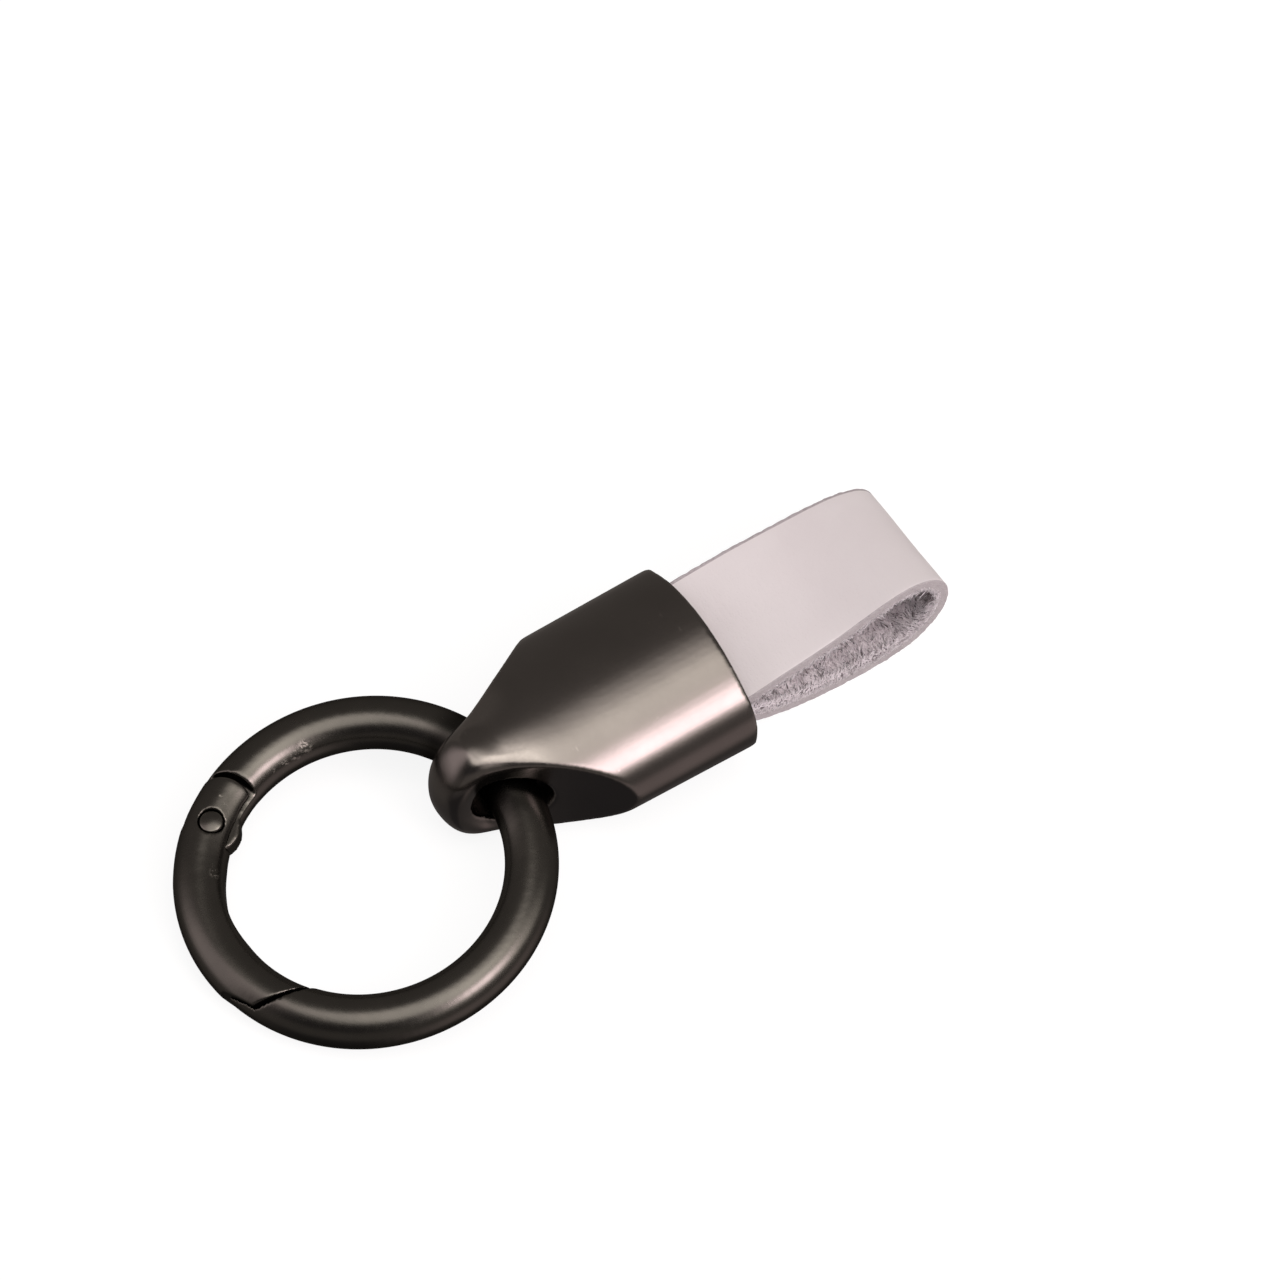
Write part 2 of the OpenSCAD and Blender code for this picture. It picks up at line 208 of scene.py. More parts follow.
class Nodes:
    """The node tree of a material or a world."""

    def __init__(self, owner):
        self.owner = owner
        owner.use_nodes = True
        self.tree = owner.node_tree
        self.tree.nodes.clear()

    def add(self, kind, settings=None, inputs=None, output=0):
        """A node of that kind; its settings first, then what feeds its sockets. Gives one of its outputs."""
        node = self.tree.nodes.new(kind)
        for name, value in (settings or {}).items():
            setattr(node, name, value)
        for name, value in (inputs or {}).items():
            self.feed(node.inputs[name], value)
        return Value(self, node.outputs[output]) if node.outputs else None

    def feed(self, socket, value):
        if isinstance(value, Value):
            self.tree.links.new(value.socket, socket)
        elif socket.type == "RGBA" and len(value) == 3:
            socket.default_value = (*value, 1)
        elif socket.type == "VECTOR" and isinstance(value, (int, float)):
            socket.default_value = (value,) * 3
        else:
            socket.default_value = value

    def places(self):
        """The place on the piece, in millimetres."""
        return self.add("ShaderNodeTexCoord", output="Object") * (1 / MM)

    def attribute(self, name):
        return self.add("ShaderNodeAttribute", {"attribute_name": name}, output="Fac")

    def noise(self, where, scale, detail=2.0, roughness=0.5, distortion=0.0):
        """Even noise from 0 to 1, with scale in waves a millimetre."""
        inputs = {"Vector": where, "Scale": scale, "Detail": detail, "Roughness": roughness}
        return self.add("ShaderNodeTexNoise", {}, {**inputs, "Distortion": distortion})

    def cells(self, where, scale):
        """Distance to the nearest of some scattered points."""
        return self.add("ShaderNodeTexVoronoi", {}, {"Vector": where, "Scale": scale}, "Distance")

    def mix(self, first, second, share):
        """A colour between two, by the Mix node's colour sockets 6 and 7 and its colour output 2."""
        return self.add("ShaderNodeMix", {"data_type": "RGBA"}, {0: share, 6: first, 7: second}, 2)

    def bump(self, height, depth, under=None):
        """A normal from a height between 0 and 1 that stands for that depth in millimetres."""
        inputs = {"Height": height, "Distance": depth * MM, "Strength": 1.0}
        if under is not None:
            inputs["Normal"] = under
        return self.add("ShaderNodeBump", {}, inputs)

    def surface(self, inputs):
        shader = self.add("ShaderNodeBsdfPrincipled", {}, inputs)
        self.add("ShaderNodeOutputMaterial", {}, {"Surface": shader})


def material(name):
    return Nodes(bpy.data.materials.new(name))


def toned(colour, times):
    """The colour made that many times as bright."""
    return tuple(times * c for c in colour)


def plated_metal(name, colour, light, rough, rough_change, grain, glance=1.0, marks=(), dark=None):
    """Satin gunmetal plating: cloudy tone, fine even grain and edges rubbed brighter.

    Glance is how much of its tone it keeps where it is seen along its surface. Marks are given as (place,
    reach), and dark as the middle and the reach of a stretch painted darker than the rest: painted shade.
    """
    look = material(name)
    where = look.places()
    cloud = look.noise(where, 0.22, 3.0)
    haze = look.noise(where, 1.3, 4.0, 0.6)
    fine = look.noise(where, 9.0, 3.0, 0.65)
    worn = look.attribute("wear").step(0.1, 0.9) * (0.45 + 0.55 * look.noise(where, 2.2, 3.0))
    base = look.mix(colour, light, cloud.step(0.3, 0.75) * 0.55)
    base = look.mix(base, toned(colour, 2.1), worn * 0.5)
    # Painted shade: the metal darkens towards the middle of the dark stretch
    if dark:
        middle, reach = dark
        base = look.mix(base, base * 0.35, (where - middle).reach().step(reach, reach * 0.7))
    scuff = look.noise(where * (1.0, 0.35, 1.0), 1.1, 5.0, 0.7).step(0.66, 0.74) * 0.12
    speck = look.noise(where, 3.2, 4.0, 0.7)
    for place, reach in marks:
        scuff = scuff.largest((where - place).reach().step(reach, reach * 0.2) * speck.step(0.48, 0.57))
    look.surface({
        "Base Color": look.mix(base, toned(colour, 3.8), scuff),
        "Metallic": 1.0,
        "Specular Tint": (glance, glance, glance),
        "Roughness": rough + (haze - 0.5) * rough_change - worn * 0.06 + scuff * 0.2,
        "Normal": look.bump(fine, grain, look.bump(haze, grain * 2.5)),
    })
    return look.owner


def drawn_steel(name, colour):
    """Bright drawn wire and turned pins, with fine rings across."""
    look = material(name)
    where = look.places()
    streak = look.noise(where * (6.0, 1.0, 1.0), 3.0, 3.0)
    cloud = look.noise(where, 1.5, 3.0)
    look.surface({
        "Base Color": look.mix(colour, toned(colour, 0.7), cloud.step(0.4, 0.8)),
        "Metallic": 1.0,
        "Roughness": 0.28 + streak * 0.14,
        "Normal": look.bump(streak, 0.004),
    })
    return look.owner


def leather_grain(name):
    """Smooth finished side: flat pale colour, faint pores and tiny creases."""
    look = material(name)
    where = look.places()
    cloud = look.noise(where, 0.12, 3.0)
    pores = look.cells(where + look.noise(where, 2.0, 2.0) * 0.25, 3.4)
    fold = look.noise(where * (1.0, 0.3, 1.0), 1.6, 4.0, 0.6)
    pale, dusky, in_pores = (0.68, 0.63, 0.63), (0.655, 0.60, 0.602), (0.62, 0.56, 0.56)
    base = look.mix(pale, dusky, cloud.step(0.35, 0.7) * 0.7)
    look.surface({
        "Base Color": look.mix(base, in_pores, pores.step(0.12, 0.0) * 0.35),
        "Roughness": 0.56 + (fold - 0.5) * 0.14,
        "Specular IOR Level": 0.32,
        "Normal": look.bump(pores.step(0.0, 0.45), 0.010, look.bump(fold, 0.03)),
    })
    return look.owner


def leather_cut(name):
    """Cut edge: packed fibres under the thin finished skin."""
    look = material(name)
    where = look.places()
    fibre = look.noise(where * (1.0, 1.0, 2.2), 5.0, 4.0, 0.65)
    cloud = look.noise(where, 0.9, 3.0)
    packed, dents, faded = (0.42, 0.374, 0.382), (0.31, 0.27, 0.28), (0.46, 0.41, 0.42)
    base = look.mix(packed, dents, fibre.step(0.42, 0.72))
    look.surface({
        "Base Color": look.mix(base, faded, cloud.step(0.5, 0.8) * 0.5),
        "Roughness": 0.88,
        "Specular IOR Level": 0.2,
        "Normal": look.bump(fibre, 0.05),
    })
    return look.owner


def leather_suede(name):
    """Flesh side: mottled short nap, with painted shade darkening it beside the cut edges."""
    look = material(name)
    where = look.places()
    nap = look.noise(where * (1.0, 0.55, 1.0), 2.8, 4.0, 0.65, 0.5)
    patch = look.noise(where, 0.55, 4.0, 0.6)
    tips, roots, brushed = (0.82, 0.75, 0.77), (0.3, 0.245, 0.255), (0.80, 0.74, 0.75)
    base = look.mix(tips, roots, nap.step(0.5, 0.66))
    base = look.mix(base, brushed, patch.step(0.5, 0.75) * 0.5)
    look.surface({
        # Painted shade beside the cut edges, where the skived corners catch the light
        "Base Color": look.mix(base, base * 0.8, look.attribute("rim")),
        "Roughness": 0.95,
        "Specular IOR Level": 0.1,
        "Sheen Weight": 0.25,
        "Normal": look.bump(nap, 0.16),
    })
    return look.owner


def leather_fibre(name):
    """Loose fibres of the flesh side, from a dark to a pale colour by their tone, which darkens towards the
    root as painted shade.
    """
    look = material(name)
    root, tip = (0.10, 0.076, 0.078), (0.97, 0.895, 0.925)
    look.surface({
        "Base Color": look.mix(root, tip, look.attribute("tone")),
        "Roughness": 0.85,
        "Specular IOR Level": 0.2,
        "Sheen Weight": 0.2,
    })
    return look.owner


# Modelling helpers
def select_only(*pieces):
    bpy.ops.object.select_all(action="DESELECT")
    for piece in pieces:
        piece.select_set(True)
    bpy.context.view_layer.objects.active = pieces[0]


def carried(rows, place):
    """The rows of points turned and moved as place says."""
    grid = np.array(place)
    return rows @ grid[:3, :3].T + grid[:3, 3]


def points(piece, place=None):
    """The piece's points as rows, in the frame of place where it is given."""
    flat = np.zeros(len(piece.data.vertices) * 3, np.float32)
    piece.data.vertices.foreach_get("co", flat)
    rows = flat.reshape(-1, 3).astype(float)
    return rows if place is None else carried(rows, place.inverted())


def normals(piece):
    flat = np.zeros(len(piece.data.vertices) * 3, np.float32)
    piece.data.vertex_normals.foreach_get("vector", flat)
    return flat.reshape(-1, 3).astype(float)


def move_points(piece, rows):
    piece.data.vertices.foreach_set("co", rows.astype(np.float32).ravel())
    piece.data.update()


def keep_value(piece, name, values):
    """Stores one number a point for the materials to read."""
    layer = piece.data.attributes.new(name, "FLOAT", "POINT")
    layer.data.foreach_set("value", np.asarray(values, np.float32))


def modify(piece, kind, **settings):
    """Adds a modifier, sets it up and applies it."""
    select_only(piece)
    modifier = piece.modifiers.new(kind.lower(), kind)
    for name, value in settings.items():
        setattr(modifier, name, value)
    bpy.ops.object.modifier_apply(modifier=modifier.name)


def edit_all(piece, *steps):
    """Runs edit-mode steps on the whole mesh."""
    select_only(piece)
    bpy.ops.object.mode_set(mode="EDIT")
    for step in steps:
        bpy.ops.mesh.select_all(action="SELECT")
        step()
    bpy.ops.object.mode_set(mode="OBJECT")


def select_faces(piece, wanted):
    """Goes into face editing with just the faces for which wanted(face) holds."""
    select_only(piece)
    bpy.ops.object.mode_set(mode="EDIT")
    bpy.ops.mesh.select_mode(type="FACE")
    bpy.ops.mesh.select_all(action="DESELECT")
    bpy.ops.object.mode_set(mode="OBJECT")
    for face in piece.data.polygons:
        face.select = bool(wanted(face))
    bpy.ops.object.mode_set(mode="EDIT")


def finish_piece(piece, body, slot, *materials, stands_for=()):
    """Brings a piece from millimetres to metres and gives it its body and materials. Its slot is not used."""
    piece.data.transform(Matrix.Scale(MM, 4))
    piece.data.update()
    if not piece.data.materials:
        for one in materials:
            piece.data.materials.append(one)
    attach(piece, body)
    if stands_for:
        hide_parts(*stands_for)


def cast_from(node, name, voxel):
    """A piece with a CAD node's shape as one even skin of small faces, in millimetres."""
    piece = bpy.data.objects.new(name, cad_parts[node].data.copy())
    bpy.context.scene.collection.objects.link(piece)
    piece.data.transform(Matrix.Scale(1 / MM, 4))
    piece.data.materials.clear()
    edit_all(piece, lambda: bpy.ops.mesh.remove_doubles(threshold=MM))
    modify(piece, "REMESH", mode="VOXEL", voxel_size=voxel)
    bpy.ops.object.shade_smooth()
    return piece


def ramp(values, low, high):
    """0 at low, 1 at high, and a smooth rise between."""
    t = np.clip((values - low) / (high - low), 0, 1)
    return t * t * (3 - 2 * t)


def soften(piece, passes, share=None):
    """Rounds the piece's edges, all of them alike or by a share from 0 to 1 at each point."""
    settings = {"factor": 0.5, "iterations": passes}
    if share is not None:
        group = piece.vertex_groups.new(name="soft")
        for i, weight in enumerate(share):
            group.add([i], float(weight), "REPLACE")
        settings["vertex_group"] = "soft"
    modify(piece, "SMOOTH", **settings)
    if share is not None:
        piece.vertex_groups.clear()


def note_wear(piece, before, depth):
    """Keeps how far rounding took each point inwards, as a share of depth: 1 is an edge that gets rubbed."""
    taken = ((before - points(piece)) * normals(piece)).sum(1)
    keep_value(piece, "wear", np.clip(taken / depth, 0, 1))


# Metal pieces
def make_cap(metal):
    cap = cast_from("end_cap", "cap_shell", cap_skin)
    before = points(cap)
    soften(cap, 5)
    x, y, z = points(cap, cap_place).T
    from_hole = np.hypot(x - hole_x, z)
    off_hole = ramp(from_hole, hole_r, hole_r + 2) ** 3
    # First the mouth's rim, then the body's edges and more and more the nose, but not the hole's rim
    soften(cap, 20, ramp(x, -1.4, -0.6) * (np.hypot(y, z) > 5))
    for passes, low, high in cap_rounding:
        soften(cap, passes, ramp(-x, low, high) * off_hole)
    # Rounding draws the tip in, so it is let out again
    swell = 0.29 * ramp(-x, *cap_tip) * ramp(from_hole, hole_r + 0.1, hole_r + 2)
    # Above and below, the nose falls away towards the side facets
    fall = 0.28 * ramp(np.abs(y), 0, 4) * ramp(-x, 17, 25) * ramp(np.abs(z), 3.6, 6)
    upward = np.array(cap_place)[:3, 2]
    move_points(cap, points(cap) + normals(cap) * swell[:, None] - np.outer(np.sign(z) * fall, upward))
    note_wear(cap, before, 0.12)
    finish_piece(cap, "cap", "cap_metal", metal, stands_for=["end_cap"])


def make_ring(metal):
    ring = cast_from("ring_body", "ring_wire", ring_skin)
    before = points(ring)
    soften(ring, 4)
    # Away from the hinge and the scarf the wire is plain, and smoother
    soften(ring, 14, ramp(points(ring, ring_place)[:, 0], -6, -3))
    note_wear(ring, before, 0.09)
    finish_piece(ring, "ring", "ring_metal", metal, stands_for=["ring_body"])


def make_gate(metal):
    gate = cast_from("gate", "gate_wire", gate_skin)
    before = points(gate)
    soften(gate, 8)
    x, y, z = points(gate, ring_place).T
    from_rivet = np.hypot(x - rivet_at[0], y - rivet_at[1])
    # A little way from the rivet, where the cheeks pass into the wire, it is smoother
    soften(gate, 90, ramp(from_rivet, 2.2, 3.4) * ramp(-from_rivet, -6.5, -5.2))
    note_wear(gate, before, 0.09)
    finish_piece(gate, "gate", "ring_metal", metal, stands_for=["gate"])


def round_bar(name, radius, low, high, place, rim, dome=0.0):
    """A turned pin along its own Z from low to high, with rounded rims and ends that may be domed."""
    bpy.ops.object.select_all(action="DESELECT")
    bpy.ops.mesh.primitive_cylinder_add(
        vertices=round_corners, radius=radius, depth=high - low, location=(0, 0, (low + high) / 2)
    )
    bar = bpy.context.object
    bar.name = name
    bpy.ops.object.transform_apply()
    select_faces(bar, lambda face: abs(face.normal.z) > 0.9)
    bpy.ops.mesh.inset(thickness=rim)
    # Five more rings of faces, to carry the dome
    for _ in range(5):
        bpy.ops.mesh.inset(thickness=(radius - rim) * 0.17)
    bpy.ops.object.mode_set(mode="OBJECT")
    rows = points(bar)
    reach = np.hypot(rows[:, 0], rows[:, 1])
    # The rims fall back as a quarter round, and the ends swell towards the middle
    fall = rim - np.sqrt(np.clip(rim**2 - np.clip(reach - (radius - rim), 0, rim) ** 2, 0, None))
    swell = dome * (reach / radius) ** 2
    rows[:, 2] -= np.sign(rows[:, 2] - (low + high) / 2) * (fall + swell)
    move_points(bar, rows)
    modify(bar, "BEVEL", width=rim * 0.25, segments=2, limit_method="ANGLE", angle_limit=radians(30))
    bpy.ops.object.shade_smooth_by_angle(angle=radians(50))
    bar.data.transform(place)
    return bar


def make_rivet(metal):
    rivet_place = ring_place @ Matrix.Translation(rivet_at)
    rivet = round_bar("gate_rivet", rivet_r, -rivet_reach, rivet_reach, rivet_place, 0.08, 0.2)
    x, y, z = points(rivet, rivet_place).T
    # Worn brighter round the rim; this is also a painted highlight on the rounded rim
    keep_value(rivet, "wear", 0.1 + 0.9 * ramp(np.hypot(x, y), rivet_r - 0.22, rivet_r - 0.08))
    finish_piece(rivet, "ring", "ring_metal", metal, stands_for=["gate_pin"])


def make_plunger(steel):
    plunger = round_bar("plunger_pin", plunger_r, *plunger_span, bore_axis, 0.2, 0.05)
    finish_piece(plunger, "plunger", "spring_steel", steel, stands_for=["spring_plunger"])


def make_spring(steel):
    """Coil inside the gate: one round section carried up a screw about the bore's axis.

    The real coil shortens as the gate opens; this one is made at one length.
    """
    bpy.ops.object.select_all(action="DESELECT")
    bpy.ops.mesh.primitive_circle_add(vertices=10, radius=spring_wire / 2, rotation=(radians(90), 0, 0))
    spring = bpy.context.object
    spring.name = "gate_coil"
    bpy.ops.object.transform_apply()
    spring.data.transform(Matrix.Translation((spring_r, 0, spring_span[0])))
    pitch = (spring_span[1] - spring_span[0]) / spring_turns
    steps = 24 * spring_turns
    modify(
        spring, "SCREW", axis="Z", angle=2 * pi * spring_turns, screw_offset=pitch * spring_turns,
        steps=steps, render_steps=steps, use_merge_vertices=True,
    )
    edit_all(
        spring,
        lambda: bpy.ops.mesh.fill_holes(sides=0),
        lambda: bpy.ops.mesh.normals_make_consistent(inside=False),
    )
    bpy.ops.object.shade_smooth()
    spring.data.transform(bore_axis)
    finish_piece(spring, "gate", "spring_steel", steel, stands_for=["gate_spring"])
    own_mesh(spring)


def make_screw(steel):
    """Countersunk screw in the cap's underside, its slot cut with a small block."""
    bpy.ops.object.select_all(action="DESELECT")
    bpy.ops.mesh.primitive_cylinder_add(vertices=round_corners, radius=screw_head_r, depth=screw_sink)
    screw = bpy.context.object
    screw.name = "cap_screw"
    screw.data.transform(Matrix.Translation((0, 0, screw_sink / 2)))
    # The head narrows to the shank, and the shank goes on up
    select_faces(screw, lambda face: face.normal.z > 0.9)
    bpy.ops.mesh.extrude_region_move(TRANSFORM_OT_translate={"value": (0, 0, screw_head_h)})
    bpy.ops.transform.resize(value=(screw_r / screw_head_r,) * 2 + (1,), center_override=(0, 0, screw_head_h))
    bpy.ops.mesh.extrude_region_move(TRANSFORM_OT_translate={"value": (0, 0, screw_len - screw_head_h)})
    bpy.ops.object.mode_set(mode="OBJECT")
    # The screw comes out by a fifth of its sink
    screw.data.transform(Matrix.Translation((0, 0, -screw_sink * 0.2)))
    bpy.ops.object.select_all(action="DESELECT")
    bpy.ops.mesh.primitive_cube_add(size=1)
    slot = bpy.context.object
    slot.scale = (slot_w, screw_head_r * 2.2, slot_deep)
    select_only(slot)
    bpy.ops.object.transform_apply()
    modify(screw, "BOOLEAN", operation="DIFFERENCE", object=slot, solver="EXACT")
    bpy.data.objects.remove(slot)
    modify(screw, "BEVEL", width=0.06, segments=2, limit_method="ANGLE", angle_limit=radians(35))
    bpy.ops.object.shade_smooth_by_angle(angle=radians(40))
    foot = cap_place @ Matrix.Translation((-screw_x, 0, -cap_h / 2 + screw_x * np.tan(radians(cap_draft))))
    foot = foot @ Matrix.Rotation(radians(cap_draft), 4, "Y") @ Matrix.Translation((0, 0, screw_sink))
    screw.data.transform(foot)
    keep_value(screw, "wear", np.full(len(screw.data.vertices), 0.3))
    finish_piece(screw, "cap", "screw_steel", steel, stands_for=["strap_screw"])


# Leather loop
def through(knots, steps):
    """A smooth line through the knots, with that many points from each knot to the next."""
    ends = [knots[0], *knots, knots[-1]]
    line = []
    for a, b, c, d in zip(ends, ends[1:], ends[2:], ends[3:]):
        for step in range(steps):
            t = step / steps
            line.append(b + t / 2 * (c - a + t * (2 * a - 5 * b + 4 * c - d + t * (3 * (b - c) + d - a))))
    return np.array([*line, knots[-1]])


def edge_line(shares, reach, rise):
    """The strap's middle layer on one edge, in the cap's XZ plane: upper tail, loop, lower tail."""
    tail = [(-strap_tail, tail_z), (-strap_tail / 2, tail_z), (-part_x, tail_z)]
    loop = [(x * reach, z * rise) for x, z in shares]
    lower = [(x, -z) for x, z in reversed(tail)]
    return through([np.array(p) for p in tail + loop + lower], steps=16)


def along_line(line, stations):
    """Points and side steps at shares of the line's own count, for the stations given as indices."""
    index = np.arange(len(line))
    spots = np.stack([np.interp(stations, index, line[:, k]) for k in (0, 1)], 1)
    run = np.gradient(line, axis=0)
    run = np.stack([np.interp(stations, index, run[:, k]) for k in (0, 1)], 1)
    run /= np.linalg.norm(run, axis=1)[:, None]
    return spots, np.stack([-run[:, 1], run[:, 0]], 1)


class StrapShape:
    """The strap's body: any place given along, across and through its thickness."""

    def __init__(self):
        self.near = edge_line(near_shares, near_reach, near_rise)
        self.far = edge_line(far_shares, far_reach, far_fall)
        middle = (self.near + self.far) / 2
        steps = np.linalg.norm(np.diff(middle, axis=0), axis=1)
        self.run = np.concatenate([[0], np.cumsum(steps)])
        self.length = self.run[-1]

    def at(self, along, across, depth):
        """Rows of places in the cap's frame: along in mm, across from 0 near to 1 far, depth out in mm."""
        stations = np.interp(along, self.run, np.arange(len(self.run)))
        near, near_side = along_line(self.near, stations)
        far, far_side = along_line(self.far, stations)
        share = np.asarray(across)[:, None]
        side = near_side + (far_side - near_side) * share
        side /= np.linalg.norm(side, axis=1)[:, None]
        spot = near + (far - near) * share + side * np.asarray(depth)[:, None]
        return np.stack([spot[:, 0], strap_w * (np.asarray(across) - 0.5), spot[:, 1]], 1), side


def strap_section():
    """The outline across the strap: rows of place across in mm and depth in mm, and the zone of each."""
    half, deep = strap_w / 2, strap_t / 2
    # Round of the finished side's corner, and of the skived corner inside
    roll, nip = 0.1, 0.7
    rows = []

    def face(start, end, depth, count, zone):
        for i in range(count):
            rows.append((start + (end - start) * i / count, depth, zone))

    def corner(x, d, radius, start, count, zone):
        for i in range(count):
            angle = radians(start - 90 * i / count)
            rows.append((x + radius * cos(angle), d + radius * sin(angle), zone))

    face(-half + roll, half - roll, deep, 58, GRAIN)
    # The finished side's corner takes the cut edge's darker material: painted shade on a line of light
    corner(half - roll, deep - roll, roll, 90, 3, CUT)
    for i in range(5):
        rows.append((half, deep - roll - (strap_t - roll - nip) * i / 5, CUT))
    corner(half - nip, -deep + nip, nip, 0, 8, FLESH)
    face(half - nip, -half + nip, -deep, 76, FLESH)
    corner(-half + nip, -deep + nip, nip, 270, 8, FLESH)
    for i in range(5):
        rows.append((-half, -deep + nip + (strap_t - roll - nip) * i / 5, CUT))
    # This corner too takes the cut edge's darker material as painted shade
    corner(-half + roll, deep - roll, roll, 180, 3, CUT)
    return np.array(rows)


def fractal(rows, scale, octaves, seed):
    """Noise about 0 at each row, from some octaves."""
    shift = Vector((seed, seed * 2, 0))
    return np.array([noise.fractal(Vector(row) * scale + shift, 0.9, 2.1, octaves) for row in rows])


def make_strap(shape, *materials):
    """The leather band: a flat sheet whose sides are joined, bent round the loop point by point."""
    section = strap_section()
    around, rows_along = len(section), 330
    bpy.ops.object.select_all(action="DESELECT")
    bpy.ops.mesh.primitive_grid_add(x_subdivisions=around, y_subdivisions=rows_along, size=2)
    strap = bpy.context.object
    strap.name = "leather_band"
    flat = points(strap)
    column = np.rint((flat[:, 0] + 1) / 2 * around).astype(int) % around
    along = (flat[:, 1] + 1) / 2 * shape.length
    across, depth, zone = section[column].T
    places, side = shape.at(along, across / strap_w + 0.5, depth)
    # 0 in the socket, 1 well out of it
    outside = np.clip((places[:, 0] - 0.3) / 2.5, 0, 1)
    # Nap stands off the flesh side, the cut edge is a little ragged, and the finished side swells faintly
    nap = fractal(places * (1, 0.55, 1), 1.2, 3, seed=3.0) * 0.1
    nap = nap + fractal(places * (1.4, 0.5, 1.4), 3.2, 2, seed=11.0) * 0.06
    ragged = fractal(places, 2.3, 3, seed=5.0) * 0.07
    gentle = fractal(places, 0.16, 2, seed=8.0) * 0.05
    fade = np.clip((strap_w / 2 - np.abs(across)) / 0.6, 0.12, 1)
    swell = np.where(zone == GRAIN, gentle * outside, 0)
    push = np.where(zone == FLESH, -(nap + 0.03) * fade * outside, swell)
    places[:, 0] += side[:, 0] * push
    places[:, 2] += side[:, 1] * push
    places[:, 1] += np.sign(across) * np.where(zone == CUT, ragged, 0) * outside
    move_points(strap, carried(places, cap_place))
    # How near each point is to a cut edge; the suede reads it for painted shade there
    keep_value(strap, "rim", ramp(np.abs(across), strap_w / 2 - 0.8, strap_w / 2 - 0.3))
    for one in materials:
        strap.data.materials.append(one)
    face_zone = np.zeros(len(strap.data.polygons), np.int32)
    for i, face in enumerate(strap.data.polygons):
        found = {int(zone[v]) for v in face.vertices}
        face_zone[i] = CUT if CUT in found else min(found)
    strap.data.polygons.foreach_set("material_index", face_zone)
    edit_all(
        strap,
        lambda: bpy.ops.mesh.remove_doubles(threshold=MM),
        lambda: bpy.ops.mesh.fill_holes(sides=0),
        lambda: bpy.ops.mesh.normals_make_consistent(inside=False),
    )
    bpy.ops.object.shade_smooth()
    finish_piece(strap, "cap", "strap_leather", stands_for=["leather_strap"])


def unit_rows(rows):
    return rows / np.linalg.norm(rows, axis=1)[:, None]


def blades(roots, first, later, length, thick, flat_side):
    """Tapered three-sided fibres: rows of points and their faces, bending from one direction to the other."""
    lofts, corners = (0, 0.3, 0.65, 1), 3
    side = unit_rows(np.cross(first, flat_side))
    over = np.cross(first, side)
    rings = []
    for loft in lofts:
        middle = roots + (first * (loft - loft**2 / 2) + later * (loft**2 / 2)) * length[:, None]
        wide = thick * (1 - 0.8 * loft**1.5)
        for k in range(corners):
            turn = 2 * pi * k / corners
            sideways, upwards = cos(turn) * wide, sin(turn) * wide * 0.7
            rings.append(middle + side * sideways[:, None] + over * upwards[:, None])
    size = len(lofts) * corners
    faces = [(2, 1, 0), (size - 3, size - 2, size - 1)]
    for ring in range(0, size - corners, corners):
        for k in range(corners):
            a, b = ring + k, ring + (k + 1) % corners
            faces.append((a, b, b + corners, a + corners))
    return np.stack(rings, 1), faces, np.repeat(lofts, corners)


